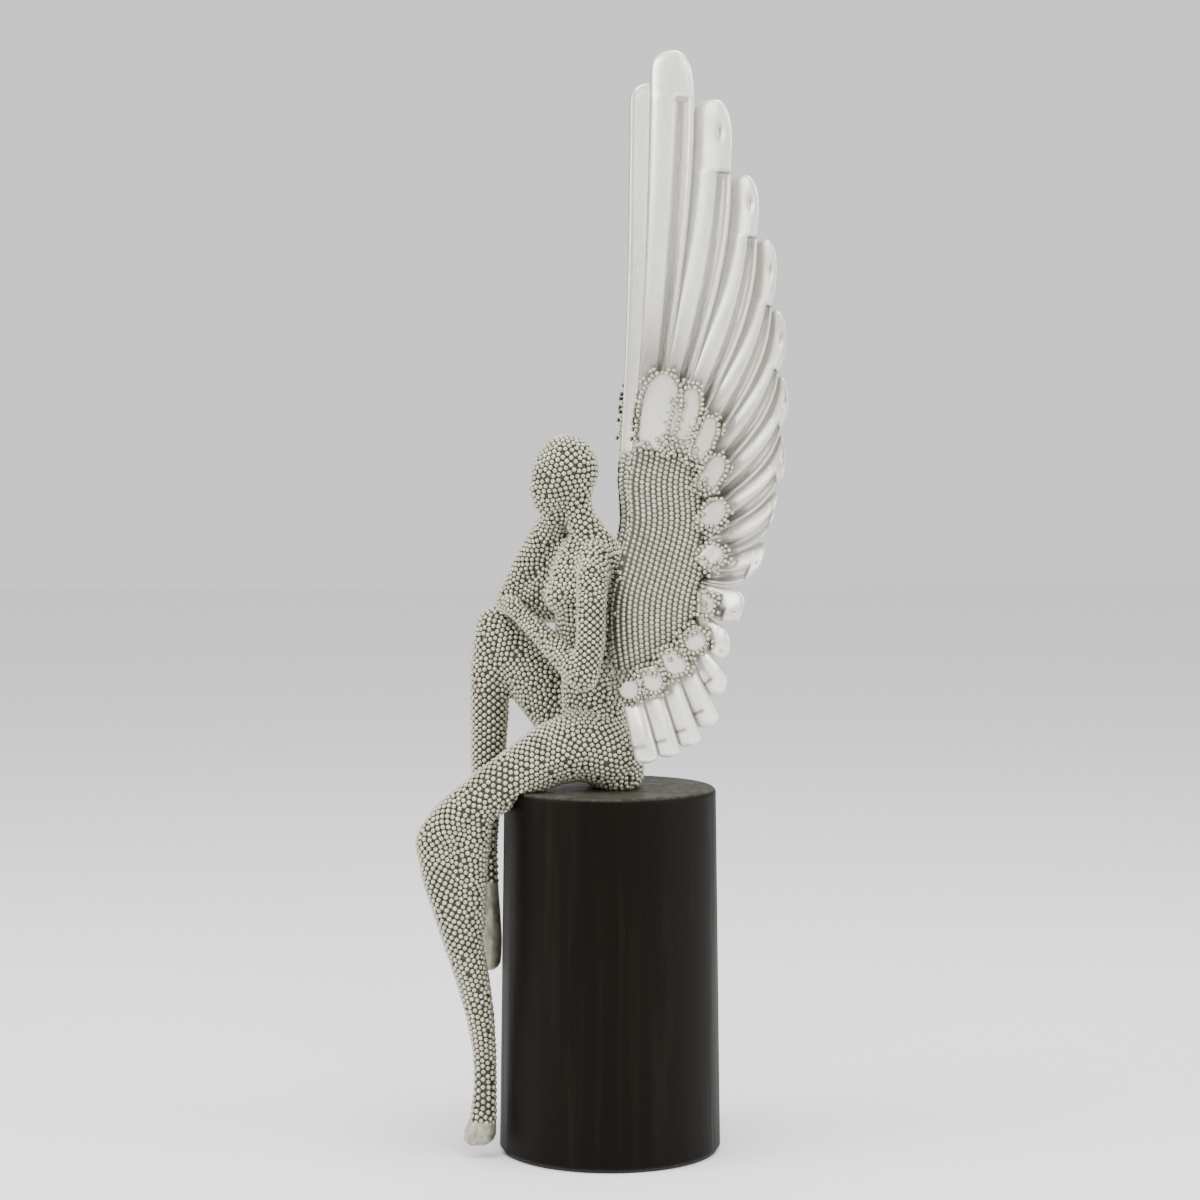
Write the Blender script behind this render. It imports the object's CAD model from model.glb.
import math
import random

import bmesh
import bpy
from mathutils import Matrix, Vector
from mathutils.bvhtree import BVHTree
from mathutils.kdtree import KDTree


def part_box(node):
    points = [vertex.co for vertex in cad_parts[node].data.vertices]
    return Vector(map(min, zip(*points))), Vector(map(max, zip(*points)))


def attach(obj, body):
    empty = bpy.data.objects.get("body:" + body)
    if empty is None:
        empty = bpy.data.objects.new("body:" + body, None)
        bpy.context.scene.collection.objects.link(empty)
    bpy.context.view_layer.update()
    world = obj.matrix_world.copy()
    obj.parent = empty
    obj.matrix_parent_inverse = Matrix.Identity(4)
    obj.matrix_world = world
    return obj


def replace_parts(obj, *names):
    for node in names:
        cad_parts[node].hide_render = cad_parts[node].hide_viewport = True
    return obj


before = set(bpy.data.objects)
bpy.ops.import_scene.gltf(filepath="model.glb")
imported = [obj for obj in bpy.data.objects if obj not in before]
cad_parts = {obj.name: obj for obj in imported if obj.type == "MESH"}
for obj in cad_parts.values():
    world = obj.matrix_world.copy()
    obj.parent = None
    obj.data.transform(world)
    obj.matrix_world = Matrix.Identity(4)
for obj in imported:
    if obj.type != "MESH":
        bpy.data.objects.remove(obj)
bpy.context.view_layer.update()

# --- Camera, floor and light ---
# None of this is the object: a long lens level with the figure's lap, a white floor
# and large soft boxes on both sides, which give the silver its bright edges.

CAMERA_AZIMUTH = math.radians(86)
CAMERA_DISTANCE = 1.657
CAMERA_HEIGHT = 0.407
CAMERA_PITCH = math.radians(-3.3)

camera_data = bpy.data.cameras.new("camera")
camera_data.sensor_width = 36
camera_data.lens = 88.5
camera_data.shift_x = -10 / 1200
camera = bpy.data.objects.new("camera", camera_data)
camera.location = (math.sin(CAMERA_AZIMUTH) * CAMERA_DISTANCE,
                   -math.cos(CAMERA_AZIMUTH) * CAMERA_DISTANCE, CAMERA_HEIGHT)
camera.rotation_euler = (math.radians(90) + CAMERA_PITCH, 0, CAMERA_AZIMUTH)
bpy.context.scene.collection.objects.link(camera)
bpy.context.scene.camera = camera


def new_material(name, color, roughness, metallic=0.0):
    """A material with its Principled shader's plain values set."""
    material = bpy.data.materials.new(name)
    material.use_nodes = True
    shader = material.node_tree.nodes["Principled BSDF"]
    shader.inputs["Base Color"].default_value = (*color, 1)
    shader.inputs["Roughness"].default_value = roughness
    shader.inputs["Metallic"].default_value = metallic
    return material, material.node_tree, shader


def soft_box(name, place, size, power):
    """A square soft box that faces the middle of the object."""
    light = bpy.data.lights.new(name, "AREA")
    light.size = size
    light.energy = power
    box = bpy.data.objects.new(name, light)
    box.location = place
    aim = Vector(place) - Vector((0, 0, 0.3))
    box.rotation_euler = aim.to_track_quat("Z", "Y").to_euler()
    bpy.context.scene.collection.objects.link(box)


soft_box("box_front", (0.5, -1.5, 1.0), 1.0, 24)
soft_box("box_back", (0.7, 1.6, 0.9), 1.0, 24)
soft_box("box_top", (0.3, 0.0, 1.9), 1.2, 34)
soft_box("box_camera", (1.9, 0.5, 1.3), 0.8, 12)

world = bpy.data.worlds.new("studio")
world.use_nodes = True
sky = world.node_tree.nodes["Background"]
sky.inputs["Color"].default_value = (1, 1, 1, 1)
sky.inputs["Strength"].default_value = 1.0
bpy.context.scene.world = world

floor_mesh = bmesh.new()
bmesh.ops.create_grid(floor_mesh, x_segments=1, y_segments=1, size=6)
floor_data = bpy.data.meshes.new("floor")
floor_mesh.to_mesh(floor_data)
floor_mesh.free()
floor = bpy.data.objects.new("floor", floor_data)
bpy.context.scene.collection.objects.link(floor)
floor_paint, _, _ = new_material("floor_white", (0.93, 0.93, 0.93), 0.9)
floor_data.materials.append(floor_paint)

# --- Base ---
# A turned block of solid wood, stained black. Its side shows faint upright grain and
# its top the mottled end grain; the rounded edge came off the lathe.


def noise_node(tree, scale, detail, vector, roughness=0.6):
    """Noise on the given coordinates."""
    node = tree.nodes.new("ShaderNodeTexNoise")
    node.inputs["Scale"].default_value = scale
    node.inputs["Detail"].default_value = detail
    node.inputs["Roughness"].default_value = roughness
    tree.links.new(vector, node.inputs["Vector"])
    return node.outputs["Fac"]


def object_coordinates(tree, stretch=(1, 1, 1)):
    """Object coordinates, stretched along each axis."""
    place = tree.nodes.new("ShaderNodeTexCoord")
    mapping = tree.nodes.new("ShaderNodeMapping")
    mapping.inputs["Scale"].default_value = stretch
    tree.links.new(place.outputs["Object"], mapping.inputs["Vector"])
    return mapping.outputs["Vector"]


def ramp_node(tree, value, *stops):
    """A colour ramp; each stop is (position, red, green, blue)."""
    ramp = tree.nodes.new("ShaderNodeValToRGB")
    elements = ramp.color_ramp.elements
    while len(elements) < len(stops):
        elements.new(0.5)
    for element, stop in zip(elements, stops):
        element.position = stop[0]
        element.color = (*stop[1:], 1)
    tree.links.new(value, ramp.inputs["Fac"])
    return ramp.outputs["Color"]


def mix_node(tree, share, first, second, blend="MIX"):
    """Colour mix; share is a socket or a number."""
    mix = tree.nodes.new("ShaderNodeMix")
    mix.data_type = "RGBA"
    mix.blend_type = blend
    if isinstance(share, (int, float)):
        mix.inputs["Factor"].default_value = share
    else:
        tree.links.new(share, mix.inputs["Factor"])
    tree.links.new(first, mix.inputs["A"])
    tree.links.new(second, mix.inputs["B"])
    return mix.outputs["Result"]


def range_node(tree, value, low, high, new_low=0.0, new_high=1.0):
    """Maps low..high to new_low..new_high, clamped."""
    node = tree.nodes.new("ShaderNodeMapRange")
    node.inputs["From Min"].default_value = low
    node.inputs["From Max"].default_value = high
    node.inputs["To Min"].default_value = new_low
    node.inputs["To Max"].default_value = new_high
    tree.links.new(value, node.inputs["Value"])
    return node.outputs["Result"]


def bump_node(tree, height, shader, strength, distance):
    """Bump from a height socket into the shader."""
    bump = tree.nodes.new("ShaderNodeBump")
    bump.inputs["Strength"].default_value = strength
    bump.inputs["Distance"].default_value = distance
    tree.links.new(height, bump.inputs["Height"])
    tree.links.new(bump.outputs["Normal"], shader.inputs["Normal"])


def paint_node(name, material):
    """Gives a CAD node this material in every slot."""
    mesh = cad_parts[name].data
    if not mesh.materials:
        mesh.materials.append(material)
    for index in range(len(mesh.materials)):
        mesh.materials[index] = material


BASE_FOOT_RADIUS = 0.0626
BASE_TOP_RADIUS = 0.0598
base_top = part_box("base_block")[1][2]
stained_wood, tree, shader = new_material("stained_wood", (0.02, 0.018, 0.015), 0.5)
grain = noise_node(tree, 1, 6, object_coordinates(tree, (150, 150, 7)))
streaks = ramp_node(tree, grain, (0.3, 0.0006, 0.0005, 0.0004), (0.52, 0.0016, 0.0013, 0.001),
                    (0.75, 0.0065, 0.0055, 0.0045))
end_grain = noise_node(tree, 1, 8, object_coordinates(tree, (420, 420, 420)), 0.7)
blotches = noise_node(tree, 1, 3, object_coordinates(tree, (90, 90, 90)))
pores = ramp_node(tree, end_grain, (0.36, 0.006, 0.0055, 0.0045), (0.62, 0.085, 0.08, 0.064))
clouds = ramp_node(tree, blotches, (0.35, 0.012, 0.011, 0.009), (0.7, 0.055, 0.052, 0.042))
mottle = mix_node(tree, 0.4, pores, clouds)
height = tree.nodes.new("ShaderNodeSeparateXYZ")
tree.links.new(object_coordinates(tree), height.inputs["Vector"])
on_top = range_node(tree, height.outputs["Z"], base_top - 0.0016, base_top - 0.0003)
tree.links.new(mix_node(tree, on_top, streaks, mottle), shader.inputs["Base Color"])
tree.links.new(range_node(tree, grain, 0.3, 0.7, 0.42, 0.62), shader.inputs["Roughness"])
shader.inputs["Specular IOR Level"].default_value = 0.1
shader.inputs["Specular Tint"].default_value = (1, 0.88, 0.72, 1)
bump_node(tree, grain, shader, 0.35, 0.0006)
paint_node("base_block", stained_wood)

black_felt, tree, shader = new_material("black_felt", (0.02, 0.02, 0.02), 0.95)
fuzz = noise_node(tree, 1, 4, object_coordinates(tree, (900, 900, 900)))
tree.links.new(ramp_node(tree, fuzz, (0.3, 0.008, 0.008, 0.008), (0.7, 0.04, 0.04, 0.04)),
               shader.inputs["Base Color"])
bump_node(tree, fuzz, shader, 0.8, 0.0006)
paint_node("felt_pad", black_felt)

# --- Fixings inside ---
# A tie rod, nut and washer hold the figure down on the base, a brass insert takes the
# rod in the seat, and steel dowels are glued between the castings.

plain_steel, tree, shader = new_material("plain_steel", (0.55, 0.56, 0.57), 0.35, 1.0)
scratches = noise_node(tree, 1, 3, object_coordinates(tree, (700, 700, 60)))
tree.links.new(range_node(tree, scratches, 0.3, 0.7, 0.28, 0.45), shader.inputs["Roughness"])
for name in ("tie_rod", "base_washer", "base_nut", "neck_pin", "shoulder_pins", "hip_pins",
             "wing_pins"):
    paint_node(name, plain_steel)

turned_brass, tree, shader = new_material("turned_brass", (0.72, 0.52, 0.22), 0.3, 1.0)
turning = noise_node(tree, 1, 3, object_coordinates(tree, (60, 60, 900)))
tree.links.new(range_node(tree, turning, 0.3, 0.7, 0.24, 0.4), shader.inputs["Roughness"])
paint_node("thread_insert", turned_brass)

# --- Castings of the figure ---
# The figure is cast resin. Its six castings are glued and filled, so one smooth skin runs
# over all of them; each casting's core is that skin, sunk below the beads and cut apart.

BEAD_PITCH = 0.00315
BEAD_RADIUS = 0.0016
BEAD_DEPTH = 0.0013
SKIN_VOXEL = 0.0013
CORE_DEPTH = 0.0017
CASTINGS = ("torso", "head", "left_arm", "right_arm", "left_leg", "right_leg")
LEFT_FOOT_Z = 0.021
RIGHT_FOOT_Z = 0.150


def link_object(name, mesh):
    """A new object at the origin that holds the mesh."""
    piece = bpy.data.objects.new(name, mesh)
    bpy.context.scene.collection.objects.link(piece)
    return piece


def merged_copy(*nodes):
    """A bmesh of the CAD nodes' meshes with their loose triangles merged."""
    bm = bmesh.new()
    for node in nodes:
        bm.from_mesh(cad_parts[node].data)
    bmesh.ops.remove_doubles(bm, verts=bm.verts, dist=1e-5)
    return bm


def apply_modifiers(piece):
    """Turns a piece's modifiers into its mesh."""
    graph = bpy.context.evaluated_depsgraph_get()
    mesh = bpy.data.meshes.new_from_object(piece.evaluated_get(graph))
    piece.modifiers.clear()
    old = piece.data
    piece.data = mesh
    bpy.data.meshes.remove(old)


def smooth_shade(mesh):
    """Smooth shading on every face."""
    mesh.polygons.foreach_set("use_smooth", [True] * len(mesh.polygons))


skin_bm = merged_copy(*CASTINGS)
skin_mesh = bpy.data.meshes.new("skin")
skin_bm.to_mesh(skin_mesh)
skin_bm.free()
skin = link_object("skin", skin_mesh)
remesh = skin.modifiers.new("voxels", "REMESH")
remesh.mode = "VOXEL"
remesh.voxel_size = SKIN_VOXEL
smoothing = skin.modifiers.new("filled", "SMOOTH")
smoothing.factor = 0.5
smoothing.iterations = 14
apply_modifiers(skin)
skin_bm = bmesh.new()
skin_bm.from_mesh(skin.data)
bead_bm = skin_bm.copy()
for vert, skin_vert in zip(bead_bm.verts, skin_bm.verts):
    vert.co = skin_vert.co - skin_vert.normal * BEAD_DEPTH
bead_tree = BVHTree.FromBMesh(bead_bm)


def surface_tree(node):
    """Finds the nearest place on a CAD node's surface."""
    bm = merged_copy(node)
    tree = BVHTree.FromBMesh(bm)
    bm.free()
    return tree


node_trees = {node: surface_tree(node) for node in CASTINGS}


def nearest_casting(point):
    """The casting whose CAD surface is nearest to the point."""
    return min(CASTINGS, key=lambda node: node_trees[node].find_nearest(point)[3])


core_paint, tree, shader = new_material("dark_wash", (0.05, 0.047, 0.036), 0.6)
wash = noise_node(tree, 1, 4, object_coordinates(tree, (350, 350, 350)))
tree.links.new(ramp_node(tree, wash, (0.3, 0.022, 0.020, 0.014), (0.7, 0.085, 0.08, 0.062)),
               shader.inputs["Base Color"])

foot_paint, tree, shader = new_material("champagne_resin", (0.36, 0.34, 0.27), 0.4, 0.35)
cloud = noise_node(tree, 1, 5, object_coordinates(tree, (220, 220, 120)))
tree.links.new(ramp_node(tree, cloud, (0.28, 0.13, 0.12, 0.085), (0.5, 0.36, 0.34, 0.27),
                         (0.72, 0.55, 0.53, 0.45)), shader.inputs["Base Color"])
bump_node(tree, cloud, shader, 0.3, 0.0008)


def is_foot(point):
    """True on the smooth, unbeaded part of either foot."""
    limit = LEFT_FOOT_Z if point.x > 0 else RIGHT_FOOT_Z
    return point.z < limit


casting_of_face = [nearest_casting(face.calc_center_median()) for face in skin_bm.faces]
for node in CASTINGS:
    core_bm = skin_bm.copy()
    core_bm.faces.ensure_lookup_table()
    core_bm.verts.ensure_lookup_table()
    for vert in skin_bm.verts:
        sink = 0.0002 if is_foot(vert.co) else CORE_DEPTH
        core_bm.verts[vert.index].co = vert.co - vert.normal * sink
    strangers = [face for face in core_bm.faces if casting_of_face[face.index] != node]
    bmesh.ops.delete(core_bm, geom=strangers, context="FACES")
    rims = [edge for edge in core_bm.edges if edge.is_boundary]
    bmesh.ops.holes_fill(core_bm, edges=rims, sides=0)
    bmesh.ops.recalc_face_normals(core_bm, faces=core_bm.faces)
    for face in core_bm.faces:
        face.material_index = 1 if is_foot(face.calc_center_median()) else 0
    core_mesh = bpy.data.meshes.new(node + "_core")
    core_bm.to_mesh(core_mesh)
    core_bm.free()
    smooth_shade(core_mesh)
    core_mesh.materials.append(core_paint)
    core_mesh.materials.append(foot_paint)
    core = link_object(node + "_core", core_mesh)
    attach(core, "root")
    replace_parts(core, node)

# --- Beads of the figure ---
# The skin is covered with small round beads, set in strings that run along each limb. They
# are painted champagne silver, and a dark wash fills the gaps between them.

# Middle line of each limb, from the body outwards, and how far its skin may lie from it
LIMB_LINES = {
    "left_leg": (0.032, [(.015, .004, .225), (.0165, -.016, .232), (.018, -.034, .227),
                         (.019, -.052, .2165), (.020, -.072, .203), (.020, -.092, .188),
                         (.020, -.097, .170), (.020, -.090, .142), (.0195, -.083, .118),
                         (.019, -.077, .096), (.019, -.073, .078), (.0185, -.0715, .058),
                         (.0185, -.0712, .040), (.0185, -.072, .024)]),
    "right_leg": (0.030, [(-.015, 0, .226), (-.020, -.020, .240), (-.026, -.038, .262),
                          (-.031, -.056, .286), (-.0315, -.0655, .288), (-.031, -.067, .270),
                          (-.029, -.067, .246), (-.0265, -.068, .222), (-.024, -.069, .198),
                          (-.022, -.0695, .174), (-.021, -.0687, .150)]),
    "left_arm": (0.018, [(.024, -.009, .334), (.031, -.0125, .312), (.034, -.013, .290),
                         (.035, -.015, .272), (.029, -.0215, .274), (.023, -.0275, .281),
                         (.006, -.040, .294), (-.009, -.0505, .3035), (-.022, -.0575, .308)]),
    "right_arm": (0.020, [(-.021, -.0175, .331), (-.028, -.0305, .321), (-.033, -.0425, .3125),
                          (-.035, -.050, .311), (-.030, -.0465, .327), (-.020, -.0385, .344),
                          (-.011, -.034, .355), (-.002, -.031, .362)]),
    "head": (0.030, [(0, -.0345, .364), (0, -.029, .374), (0, -.0245, .387), (0, -.0235, .406)]),
    "torso": (0.046, [(0, .003, .206), (0, -.003, .232), (0, -.009, .258), (0, -.0115, .288),
                      (0, -.0105, .318), (0, -.009, .334), (0, -.0165, .360), (0, -.020, .372)]),
}


def smooth_line(points, step):
    """Evenly spaced points, each with its direction, on a smooth curve through the points."""
    points = [Vector(p) for p in points]
    points = [2 * points[0] - points[1]] + points + [2 * points[-1] - points[-2]]
    fine = []
    for k in range(1, len(points) - 2):
        a, b, c, d = points[k - 1:k + 3]
        for i in range(24):
            t = i / 24
            fine.append(0.5 * (2 * b + (c - a) * t + (2 * a - 5 * b + 4 * c - d) * t * t
                               + (3 * b - 3 * c + d - a) * t ** 3))
    fine.append(points[-2])
    stations = [(fine[0], (fine[1] - fine[0]).normalized())]
    travelled = 0.0
    for previous, point in zip(fine, fine[1:]):
        travelled += (point - previous).length
        if travelled >= step:
            stations.append((point, (point - previous).normalized()))
            travelled = 0.0
    return stations


def strings_of_beads(reach, line, pitch):
    """Sites in strings along a limb, each string set half a bead behind its neighbours."""
    sites = []
    side = None
    count = 0
    for row, (centre, along) in enumerate(smooth_line(line, pitch * 0.5)):
        side = along.orthogonal() if side is None else side - along * side.dot(along)
        side.normalize()
        other = along.cross(side)
        radii = []
        for k in range(12):
            angle = math.tau * k / 12
            way = side * math.cos(angle) + other * math.sin(angle)
            hit = bead_tree.ray_cast(centre, way, reach)
            if hit[0]:
                radii.append(hit[3])
        if not radii:
            continue
        ideal = math.tau * sum(radii) / len(radii) / (pitch * 0.87)
        if not count or abs(ideal - count) > 0.08 * count + 0.8:
            count = 2 * max(3, round(ideal / 2))
        for k in range(row % 2, count, 2):
            angle = math.tau * k / count
            way = side * math.cos(angle) + other * math.sin(angle)
            hit = bead_tree.ray_cast(centre, way, reach)
            if hit[0]:
                sites.append(hit[0])
    return sites


class SiteGrid:
    """Keeps sites at least a given distance apart."""

    def __init__(self, cell):
        self.cell = cell
        self.cells = {}

    def key(self, p):
        return (int(p.x // self.cell), int(p.y // self.cell), int(p.z // self.cell))

    def is_free(self, p, gap):
        i, j, k = self.key(p)
        for a in (i - 1, i, i + 1):
            for b in (j - 1, j, j + 1):
                for c in (k - 1, k, k + 1):
                    for q in self.cells.get((a, b, c), ()):
                        if (p - q).length_squared < gap * gap:
                            return False
        return True

    def add(self, p):
        self.cells.setdefault(self.key(p), []).append(p)


shell_trees = [surface_tree(f"{prefix}_wing_{face}_shell")
               for face in ("outer", "inner") for prefix in ("left", "right")]


def is_open(point):
    """True where a bead has room: off the feet, the seat and the wing roots."""
    if is_foot(point):
        return False
    if point.z < base_top + 0.0012:
        wall = BASE_FOOT_RADIUS + (BASE_TOP_RADIUS - BASE_FOOT_RADIUS) * point.z / base_top
        if math.hypot(point.x, point.y) < wall + 0.0008:
            return False
    for shell_tree in shell_trees:
        place, out, _, gap = shell_tree.find_nearest(point)
        if gap < 0.012 and (point - place).dot(out) < -0.0004:
            return False
    return True


# The arms carry finer beads
PITCH_SHARE = {"left_arm": 0.88, "right_arm": 0.96}
FILL_TRIES = 60000
FILL_GAPS = (0.68, 0.74, 0.8)
CLOSEST = 0.8
sites = []
grid = SiteGrid(BEAD_PITCH)
for limb in ("left_leg", "right_leg", "left_arm", "right_arm", "head", "torso"):
    reach, line = LIMB_LINES[limb]
    pitch = BEAD_PITCH * PITCH_SHARE.get(limb, 1)
    for place in strings_of_beads(reach, line, pitch):
        if grid.is_free(place, pitch * CLOSEST) and is_open(place):
            grid.add(place)
            sites.append(place)

skin_faces = list(bead_bm.faces)


def fill_gaps(tries, gap):
    """Puts a bead in any free place."""
    for _ in range(tries):
        face = skin_faces[draw.randrange(len(skin_faces))]
        corners = [vert.co for vert in face.verts]
        a, b = draw.random(), draw.random()
        place = corners[0].lerp(corners[1], a).lerp(corners[-1].lerp(corners[2], a), b)
        space = gap * BEAD_PITCH * PITCH_SHARE.get(nearest_casting(place), 1)
        if grid.is_free(place, space) and is_open(place):
            grid.add(place)
            sites.append(place)


def settle(places, rounds):
    """Each bead pushes its nearest neighbours away, and stays on the skin."""
    for _ in range(rounds):
        kd = KDTree(len(places))
        for index, place in enumerate(places):
            kd.insert(place, index)
        kd.balance()
        moved = []
        for index, place in enumerate(places):
            space = BEAD_PITCH * share_of[index]
            push = Vector()
            for other, other_index, gap in kd.find_range(place, space):
                if other_index != index and gap > 1e-7:
                    push += (place - other) / gap * (space - gap)
            moved.append(bead_tree.find_nearest(place + push * 0.3)[0])
        places = moved
    return places


draw = random.Random(7)
for gap in FILL_GAPS:
    fill_gaps(FILL_TRIES, gap)
    share_of = [PITCH_SHARE.get(nearest_casting(place), 1) for place in sites]
    kept = []
    grid = SiteGrid(BEAD_PITCH)
    for place, share in zip(settle(sites, 6), share_of):
        if grid.is_free(place, CLOSEST * BEAD_PITCH * share):
            grid.add(place)
            kept.append(place)
    sites = kept

# Colour of a bead from its foot to its crown: wash, paint and silver
bead_paint, tree, shader = new_material("beads_champagne", (0.5, 0.48, 0.4), 0.33, 0.55)
crown = tree.nodes.new("ShaderNodeAttribute")
crown.attribute_name = "crown"
tone = tree.nodes.new("ShaderNodeAttribute")
tone.attribute_name = "tone"
rise = ramp_node(tree, crown.outputs["Fac"], (0.4, 0.075, 0.07, 0.046), (0.64, 0.30, 0.287, 0.212),
                 (0.9, 0.57, 0.555, 0.455))
shade = ramp_node(tree, tone.outputs["Fac"], (0.0, 0.74, 0.73, 0.70), (1.0, 1.0, 1.0, 1.0))
tree.links.new(mix_node(tree, 1.0, rise, shade, "MULTIPLY"), shader.inputs["Base Color"])
grime = noise_node(tree, 1, 3, object_coordinates(tree, (600, 600, 600)))
tree.links.new(range_node(tree, grime, 0.3, 0.7, 0.26, 0.46), shader.inputs["Roughness"])


def bead_piece(name, beads):
    """One piece of round beads; each bead is (centre, outward direction, radius)."""
    ball = bmesh.new()
    bmesh.ops.create_uvsphere(ball, u_segments=8, v_segments=5, radius=1)
    ball_points = [vert.co.copy() for vert in ball.verts]
    ball_faces = [[vert.index for vert in face.verts] for face in ball.faces]
    ball.free()
    points, faces, crowns, tones = [], [], [], []
    for centre, out, radius in beads:
        turn = out.to_track_quat("Z", "Y").to_matrix() * radius
        start = len(points)
        points += [centre + turn @ point for point in ball_points]
        faces += [[start + index for index in face] for face in ball_faces]
        crowns += [0.5 + 0.5 * point.z for point in ball_points]
        tones += [draw.random()] * len(ball_points)
    mesh = bpy.data.meshes.new(name)
    mesh.from_pydata(points, [], faces)
    mesh.attributes.new("crown", "FLOAT", "POINT").data.foreach_set("value", crowns)
    mesh.attributes.new("tone", "FLOAT", "POINT").data.foreach_set("value", tones)
    smooth_shade(mesh)
    mesh.materials.append(bead_paint)
    piece = link_object(name, mesh)
    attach(piece, "root")
    return piece


beads_of = {node: [] for node in CASTINGS}
for place in sites:
    normal = bead_tree.find_nearest(place)[1]
    node = nearest_casting(place)
    beads_of[node].append((place, normal, BEAD_RADIUS * PITCH_SHARE.get(node, 1)))
for node in CASTINGS:
    bead_piece(node + "_beads", beads_of[node])
skin_bm.free()
bead_bm.free()
bpy.data.objects.remove(skin)

# --- Wing feathers ---
# Each wing has sixteen separate blades of cast resin, finished in silver leaf. A blade has
# a rounded front and a long hollow behind it, which a thick lobe closes at the tip.

FIGURE_Y = -1.5
FEATHER_THICKNESS = 7
FEATHER_GAP = 0.15
TIP_ROUND = 0.42
TIP_ROUND_LOWEST = 0.26
BACK_TAPER = 2.4
LOBE_SWELL = 0.55
SHORTEST_LOBE = 9
# A feather's length over its straight length, and the least share of it that has a neighbour
CURVE_LENGTH = 1.14
LEAST_LEVEL = 0.74
LEAST_LEVEL_LOWEST = 0.93
ROOT_LIFT = -3
TIP_LIFT = 3
LEAD_Y = 12
LEAD_X = [(17, 33), (67, 31), (107, 28.5), (137, 30), (177, 41), (227, 55), (287, 64.5),
          (347, 69), (407, 72)]
SWEEP = [(17, .35), (67, .6), (107, .68), (137, .62), (177, .42), (227, .26), (287, .17),
         (347, .11), (407, .08)]
# Root (depth, height, heading), tip (depth, height, heading), width and twist; the
# heights are in millimetres over the seat
FEATHERS = [(17, 180, 84, 30.5, 402.5, 88, 25, 12), (21, 178, 77, 52.8, 376.5, 92, 21, 24),
            (27, 174, 69, 69, 336.5, 95, 19, 30), (31, 168, 60, 80, 302.5, 97, 17.5, 33),
            (34, 160, 52, 86, 265, 98, 16.5, 34), (36, 151, 42, 89, 229, 98, 16, 33),
            (37, 142, 31, 89, 197, 94, 16, 30), (38, 133, 18, 86.5, 166, 78, 17, 24),
            (38, 124, 4, 79.5, 134, 46, 19, 14), (37, 115, -14, 68.5, 104, 4, 18, 4),
            (35, 109, -34, 61.5, 80, -30, 15.5, -8), (30, 105, -46, 58.5, 58, -52, 14, -18),
            (24, 100, -54, 53, 39.5, -62, 13.5, -22), (18, 94, -61, 43, 28, -70, 13.5, -18),
            (10, 88, -66, 32, 21.5, -73, 13.5, -12), (2, 82, -70, 20, 17.5, -77, 14, -8)]
# Section of a blade from its front edge to its back edge: place across, height of the top
BLADE_TOP = [(-1, 0), (-.95, .42), (-.82, .74), (-.62, .93), (-.4, 1), (-.15, .96), (0, .8),
             (.1, .5), (.2, .1), (.34, -.15), (.48, -.2), (.6, -.1), (.7, .15), (.78, .42),
             (.86, .55), (.95, .35)]
BLADE_UNDER = [(1, 0), (.9, -.6), (.65, -.85), (.3, -.75), (0, -.95), (-.3, -.75), (-.65, -.85),
               (-.9, -.6)]


def table_value(table, v):
    """Smooth value of a table of (place, value) at place v."""
    if v <= table[0][0]:
        return table[0][1]
    if v >= table[-1][0]:
        return table[-1][1]
    k = next(k for k in range(len(table) - 1) if v <= table[k + 1][0])

    def slope(j):
        a, b = table[max(j - 1, 0)], table[min(j + 1, len(table) - 1)]
        return (b[1] - a[1]) / (b[0] - a[0])

    run = table[k + 1][0] - table[k][0]
    u = (v - table[k][0]) / run
    return (table[k][1] * (2 * u ** 3 - 3 * u ** 2 + 1) + slope(k) * run * (u ** 3 - 2 * u ** 2 + u)
            + table[k + 1][1] * (3 * u ** 2 - 2 * u ** 3) + slope(k + 1) * run * (u ** 3 - u ** 2))


def smooth_step(low, high, v):
    """0 below low and 1 above high, with a soft change between."""
    u = min(max((v - low) / (high - low), 0), 1)
    return u * u * (3 - 2 * u)


def on_wing(p, lift, side):
    """Point over the wing sheet at depth p.x and height p.y; side is 1 left and -1 right."""
    x = table_value(LEAD_X, p.y) + table_value(SWEEP, p.y) * (p.x - LEAD_Y) + lift
    return Vector((side * x, p.x + FIGURE_Y, p.y)) / 1000 + Vector((0, 0, base_top))


def bezier(p, u):
    return ((1 - u) ** 3 * p[0] + 3 * u * (1 - u) ** 2 * p[1] + 3 * u ** 2 * (1 - u) * p[2]
            + u ** 3 * p[3])


def bezier_way(p, u):
    return ((1 - u) ** 2 * (p[1] - p[0]) + 2 * u * (1 - u) * (p[2] - p[1])
            + u ** 2 * (p[3] - p[2])).normalized()


def feather_curve(f):
    """Centre line of a feather."""
    root, tip = Vector(f[0:2]), Vector(f[3:5])
    reach = 0.38 * (tip - root).length
    a, b = math.radians(f[2]), math.radians(f[5])
    return (root, root + reach * Vector((math.cos(a), math.sin(a))),
            tip - reach * Vector((math.cos(b), math.sin(b))), tip)


curves = [feather_curve(f) for f in FEATHERS]


def outer_line(i, u, way):
    """Free outer edge of the first (way -1) or last (way 1) feather."""
    d = bezier_way(curves[i], u)
    return bezier(curves[i], u) + way * FEATHERS[i][6] / 2 * (0.6 + 0.4 * u) * Vector((d.y, -d.x))


def level(i):
    """Share of feather i that is level with the tip of the next feather."""
    a, b = curves[i], curves[i + 1]
    past = (a[3] - b[3]).dot(bezier_way(a, 1)) / (CURVE_LENGTH * (a[3] - a[0]).length)
    return max(1 - past, LEAST_LEVEL if i < 7 else LEAST_LEVEL_LOWEST)


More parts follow.
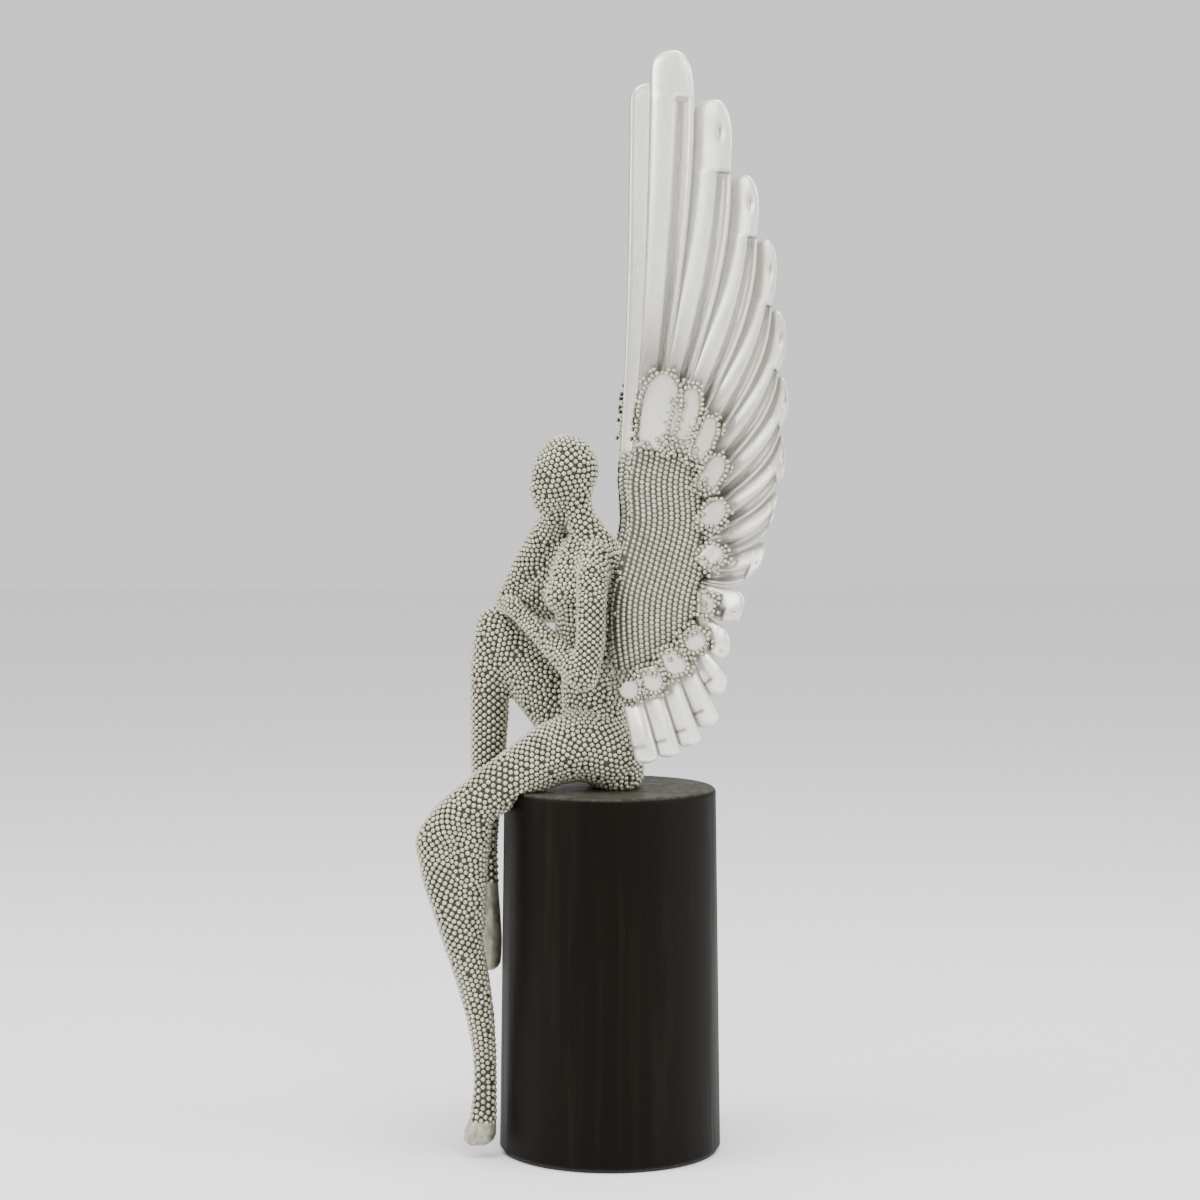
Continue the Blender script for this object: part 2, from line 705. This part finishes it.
def joint_line(i, s):
    """The joint of two feathers, midway between their centre lines."""
    v = level(i)
    return (bezier(curves[i], min(v, 1) * s) + bezier(curves[i + 1], s / max(v, 1))) / 2


def far_edge(i, u):
    """Edge of feather i towards the next one: along the joint, then free."""
    if i == len(FEATHERS) - 1:
        return outer_line(i, u, 1)
    v = min(level(i), 1)
    if u <= v:
        return joint_line(i, u / v)
    swell = 1 + LOBE_SWELL * smooth_step(1, 5, i) * smooth_step(v, v + 0.4 * (1 - v), u)
    return bezier(curves[i], u) + swell * (joint_line(i, 1) - bezier(curves[i], v))


def near_edge(i, u):
    """Edge of feather i towards the one before."""
    if i == 0:
        return outer_line(i, u, -1)
    v = 1 / max(level(i - 1), 1)
    if u <= v:
        return joint_line(i - 1, u / v)
    return bezier(curves[i], u) + joint_line(i - 1, 1) - bezier(curves[i], v)


def round_off(u, v):
    """What is left of the width at share u when it rounds off past share v."""
    return max(1 - max((u - v) / (1 - v), 0) ** 2.4, 0.0002) ** (1 / 2.4)


def lofted(name, blades, material):
    """A piece of closed blades; each is (rings of points, rings of (across, along, hollow))."""
    bm = bmesh.new()
    trait_layer = bm.verts.layers.float_vector.new("blade")
    for rings, traits in blades:
        loops = []
        for ring, ring_traits in zip(rings, traits):
            loop = [bm.verts.new(point) for point in ring]
            for vert, trait in zip(loop, ring_traits):
                vert[trait_layer] = trait
            loops.append(loop)
        count = len(loops[0])
        for a, b in zip(loops, loops[1:]):
            for k in range(count):
                bm.faces.new((a[k], a[(k + 1) % count], b[(k + 1) % count], b[k]))
        bm.faces.new(loops[0])
        bm.faces.new(loops[-1])
    bmesh.ops.recalc_face_normals(bm, faces=bm.faces)
    mesh = bpy.data.meshes.new(name)
    bm.to_mesh(mesh)
    bm.free()
    smooth_shade(mesh)
    mesh.materials.append(material)
    piece = link_object(name, mesh)
    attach(piece, "root")
    return piece


silver_leaf, tree, shader = new_material("silver_leaf", (0.7, 0.69, 0.65), 0.3, 0.5)
blade = tree.nodes.new("ShaderNodeAttribute")
blade.attribute_name = "blade"
parts = tree.nodes.new("ShaderNodeSeparateXYZ")
tree.links.new(blade.outputs["Vector"], parts.inputs["Vector"])
stroke = tree.nodes.new("ShaderNodeMapping")
stroke.inputs["Scale"].default_value = (3.5, 0.09, 0)
tree.links.new(blade.outputs["Vector"], stroke.inputs["Vector"])
strokes = noise_node(tree, 1, 5, stroke.outputs["Vector"], 0.65)
leaf = ramp_node(tree, strokes, (0.3, 0.56, 0.545, 0.47), (0.43, 0.82, 0.805, 0.72),
                 (0.62, 0.93, 0.915, 0.835))
washed = ramp_node(tree, strokes, (0.3, 0.05, 0.047, 0.036), (0.5, 0.16, 0.153, 0.125),
                   (0.7, 0.42, 0.41, 0.36))
tree.links.new(mix_node(tree, parts.outputs["Z"], leaf, washed), shader.inputs["Base Color"])
patches = noise_node(tree, 1, 3, object_coordinates(tree, (45, 45, 25)))
tree.links.new(range_node(tree, patches, 0.3, 0.7, 0.22, 0.42), shader.inputs["Roughness"])
bump_node(tree, strokes, shader, 0.12, 0.0006)

ALONG_STOPS = [k / 22 for k in range(22)]
TIP_STOPS = [0, .15, .3, .45, .6, .72, .82, .9, .95, .98, 1]
LEDGE_STOPS = [-6, -3, -1.2, -.4, 0, 1, 3]
for side, prefix in ((1, "left"), (-1, "right")):
    for i, f in enumerate(FEATHERS):
        curve = curves[i]
        length = (curve[3] - curve[0]).length
        # The lowest blades end nearly square
        tip_round = TIP_ROUND + (TIP_ROUND_LOWEST - TIP_ROUND) * smooth_step(9.5, 12, i)
        round_start = 1 - tip_round * (far_edge(i, 1) - near_edge(i, 1)).length / length
        # The lobe reaches down to the level of the next feather's tip
        lobe_start = 1 - SHORTEST_LOBE / length
        if i < len(FEATHERS) - 1:
            lobe_start = min(level(i), lobe_start)
        rings, traits = [], []
        stops = [u * round_start for u in ALONG_STOPS]
        stops += [round_start + u * (1 - round_start) for u in TIP_STOPS]
        stops += [lobe_start + shift / length for shift in LEDGE_STOPS]
        stops += [lobe_start + k / 14 * (round_start - lobe_start) for k in range(4, 14)]
        for u in sorted(stops):
            centre = bezier(curve, u)
            near, far = near_edge(i, u) - centre, far_edge(i, u) - centre
            front = round_off(u, round_start)
            taper = BACK_TAPER + (1 - BACK_TAPER) * smooth_step(8, 11, i)
            back = round_off(u, 1 - taper * (1 - round_start))
            thick = FEATHER_THICKNESS * (0.5 + 0.5 * smooth_step(0.2, 0.75, u))
            thick *= 0.4 + 0.6 * front
            twist = math.tan(math.radians(f[7]) * smooth_step(0.2, 0.75, u))
            lift = ROOT_LIFT + (TIP_LIFT - ROOT_LIFT) * smooth_step(0.25, 1, u)
            lobe = smooth_step(lobe_start - 0.8 / length, lobe_start + 0.8 / length, u)
            hollow_depth = (1 - lobe) * (1 - 0.92 * smooth_step(9.5, 12, i))
            # A small dent in the upper half of the lobe
            dent_at = lobe_start + 0.58 * (1 - lobe_start)
            dimple = 0
            if 0 < i < 11:
                dimple = math.exp(-((u - dent_at) / (0.11 * (1 - lobe_start))) ** 2)
            ledge = 0.9 * math.exp(-((u - lobe_start) * length / 1.1) ** 2) if i else 0
            root_shade = 1 - smooth_step(0.2, 0.7, u)
            ring, ring_traits = [], []
            for s, top in BLADE_TOP + BLADE_UNDER:
                dome = math.sqrt(max(1 - s * s, 0))
                is_top = (s, top) in BLADE_TOP
                height = dome + (top - dome) * hollow_depth if is_top else top
                if is_top:
                    height -= 0.45 * dimple * math.exp(-((s - 0.2) / 0.2) ** 2)
                edge = near if s < 0 else far
                across = edge.normalized() * max(edge.length - FEATHER_GAP, 0.5) * abs(s)
                across *= front if s < 0 else back
                spread = across.length * (-1 if s < 0 else 1)
                rise = lift + height * thick / 2 + spread * twist
                ring.append(on_wing(centre + across, rise, side))
                in_hollow = smooth_step(0.0, 0.2, s) * (1 - smooth_step(0.68, 0.84, s))
                stain = in_hollow * hollow_depth * (0.6 + 0.4 * root_shade)
                stain = max(stain, 0.9 * dimple * math.exp(-((s - 0.2) / 0.16) ** 2))
                if is_top:
                    crack = 0.7 * smooth_step(0.84, 1, abs(s))
                    crack *= 1 - smooth_step(round_start, 1, u)
                    step_shade = ledge * smooth_step(-0.3, 0.2, s)
                    stain = max(stain, step_shade, 0.8 * root_shade ** 3, crack)
                stain = max(stain, 0.36 * smooth_step(0.5, 4, i) * (1 - smooth_step(8, 11, i)))
                ring_traits.append((spread, u * length + 37 * i, stain if is_top else 0.35))
            rings.append(ring)
            traits.append(ring_traits)
        name = f"{prefix}_feather_{i + 1:02d}"
        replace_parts(lofted(name + "_blade", [(rings, traits)], silver_leaf), name)

# --- Coverts ---
# Short feathers that fan out from under the beaded wing root. Each is a smooth blade, and
# a string of small beads is glued round its edge.

COVERTS = [(20.5, 190, 27, 231.5, 22), (33, 189, 42, 224, 15), (42.5, 184, 52, 208, 13),
           (47, 168, 57, 187, 13), (48, 148, 58, 163, 13), (47.5, 127, 57, 138, 14),
           (45, 107, 54, 107, 14), (39.5, 92, 47.5, 81.5, 14), (30, 81.5, 36, 67, 14),
           (19.5, 71, 23.5, 57, 13), (8, 66.5, 10, 52, 13)]
COVERT_THICKNESS = 3.2
COVERT_LIFT = 4
# Places across a covert and heights there, as shares of its half width and half thickness
COVERT_SECTION = [(-1, 0), (-.8, .8), (-.4, .75), (0, .7), (.4, .75), (.8, .8), (1, 0), (.7, -1),
                  (0, -1), (-.7, -1)]
TRIM_BEAD = 1.35
TRIM_PITCH = TRIM_BEAD * 0.00196
# Rows of trim beads: how far out, how far down, share of the beads that is there
TRIM_ROWS = [(0, 0, 1), (2.1, 1.6, 0.6)]


def covert_width(u):
    """Share of a covert's full width at share u of its length."""
    return (0.9 + 0.1 * smooth_step(0, 0.55, u)) * round_off(u, 0.55)


trim_beads = {}
draw = random.Random(11)
for side, prefix in ((1, "left"), (-1, "right")):
    blades, cord, extra = [], [], []
    for number, (root_y, root_h, tip_y, tip_h, width) in enumerate(COVERTS):
        root, tip = Vector((root_y, root_h)), Vector((tip_y, tip_h))
        way = (tip - root).normalized()
        cross = Vector((way.y, -way.x))
        rings, traits = [], []
        for k in range(17):
            u = 1 - (1 - k / 16) ** 1.5
            centre = root + (tip - root) * u
            half = width / 2 * covert_width(u)
            ring, ring_traits = [], []
            for s, height in COVERT_SECTION:
                lift = height * COVERT_THICKNESS / 2 + COVERT_LIFT + 1.5 * (1 - u)
                ring.append(on_wing(centre + cross * half * s, lift, side))
                ring_traits.append((s * half, u * (tip - root).length + 31 * number, 0.28))
            rings.append(ring)
            traits.append(ring_traits)
        blades.append((rings, traits))
        # Beads of the wing root run on over the covert's root
        for row in range(4):
            for k in range(-3, 4):
                u = (row * 2.5 - 1.5 + draw.uniform(-0.4, 0.4)) / (tip - root).length
                shift = (k + 0.5 * (row % 2)) * 2.9
                if abs(shift) < width / 2 and draw.random() > 0.25 * row - 0.2:
                    place = root + (tip - root) * u + cross * shift
                    extra.append((on_wing(place, 6 + 1.5 * (1 - u), side), Vector((side, 0, 0))))
        path = []
        for way_sign in (-1, 1):
            run = [(u / 40, way_sign) for u in range(2, 41)]
            path += run if way_sign < 0 else run[::-1]
        # Two rows: one on the edge, and an uneven one round it
        for outset, drop, share_kept in TRIM_ROWS:
            points = []
            for u, way_sign in path:
                half = width / 2 * covert_width(u)
                place = root + (tip - root) * u + cross * way_sign * (half + outset)
                place += way * outset * u
                points.append(on_wing(place, 6.2 - drop + 1.5 * (1 - u), side))
            travelled = 0.0
            for a, b in zip(points, points[1:]):
                step = (b - a).length
                place = 0.0
                while travelled + (step - place) >= TRIM_PITCH:
                    place += TRIM_PITCH - travelled
                    travelled = 0.0
                    if draw.random() < share_kept:
                        cord.append((a.lerp(b, place / step), Vector((side, 0, 0))))
                travelled += step - place
    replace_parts(lofted(prefix + "_covert_blades", blades, silver_leaf), prefix + "_wing_coverts")
    # Beads run a little way up the wing's front edge too
    for row in range(3):
        for k in range(12 - 2 * row):
            u = (k + 0.5 * (row % 2)) * 2.7 / 225
            edge = near_edge(0, u)
            inward = (bezier(curves[0], u) - edge).normalized()
            extra.append((on_wing(edge + inward * (0.8 + 2.5 * row), 0.4 * row - 1.7, side),
                          Vector((0.35 * row * side, -1, 0)).normalized()))
    trim_beads[prefix] = []
    for place, out in cord + extra:
        # A bead on the wing's front edge looks forwards
        out = out.lerp(Vector((0, -1, 0)), 1 - smooth_step(0.008, 0.014, place.y)).normalized()
        shake = Vector([draw.uniform(-0.0004, 0.0004) for _ in range(3)])
        trim_beads[prefix].append((place + shake, out))

# --- Wing roots ---
# The root of each wing is a low cushion on both faces, set with smaller beads. Their rows
# follow the wing's front edge, and the trim beads of the coverts ring it.

WING_PITCH = 0.003
WING_BEAD = 0.00158
ROWS = 17
ROW_STEP = 2.95
BEADS_IN_ROW = 52
BEAD_STEP = 2.62
LOOSE_TRIES = 14000
ROOT_FRONT = [(62, 3), (84, 0), (106, 0), (128, 5), (150, 9.5), (172, 8.5), (188, 11)]


def is_wing_open(place):
    """True where a bead of the wing root stays clear of the figure."""
    for node in ("torso", "left_arm"):
        surface, out, _, gap = node_trees[node].find_nearest(place)
        if gap < 0.012 and (place - surface).dot(out) < 0.0006:
            return False
    return True


for side, prefix in ((1, "left"), (-1, "right")):
    for face, looks in (("outer", side), ("inner", -side)):
        node = f"{prefix}_wing_{face}_shell"
        paint_node(node, core_paint)
        shell_bm = merged_copy(node)
        shell_tree = BVHTree.FromBMesh(shell_bm)
        grid = SiteGrid(WING_PITCH)
        sites = []
        for row in range(ROWS):
            for column in range(BEADS_IN_ROW):
                h = 60 + (column + 0.5 * (row % 2)) * BEAD_STEP
                y = table_value(ROOT_FRONT, h) + 1.3 + row * ROW_STEP
                start = Vector((0.15 * looks + side * 0.03, (y + FIGURE_Y) / 1000,
                                base_top + h / 1000))
                hit = shell_tree.ray_cast(start, Vector((-looks, 0, 0)))
                if hit[0] and hit[1].x * looks > 0.3 and grid.is_free(hit[0], WING_PITCH * CLOSEST):
                    if is_wing_open(hit[0]):
                        grid.add(hit[0])
                        sites.append(hit[0])
        shell_faces = [f for f in shell_bm.faces if f.normal.x * looks > -0.7]
        areas = [f.calc_area() for f in shell_faces]
        for f in draw.choices(shell_faces, areas, k=LOOSE_TRIES):
            corners = [loop.vert.co for loop in f.loops[:3]]
            a, b = sorted((draw.random(), draw.random()))
            place = corners[0] * a + corners[1] * (b - a) + corners[2] * (1 - b)
            if grid.is_free(place, WING_PITCH * 0.93) and is_wing_open(place):
                grid.add(place)
                sites.append(place)
        beads = []
        for place in sites:
            surface, normal, _, _ = shell_tree.find_nearest(place)
            beads.append((surface - normal * WING_BEAD * 0.45, normal, WING_BEAD))
        bead_piece(node + "_beads", beads)
        shell_bm.free()
    trim = bead_piece(prefix + "_trim_beads", [(place, out, TRIM_BEAD / 1000)
                                               for place, out in trim_beads[prefix]])
    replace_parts(trim, prefix + "_wing_covert_trim")
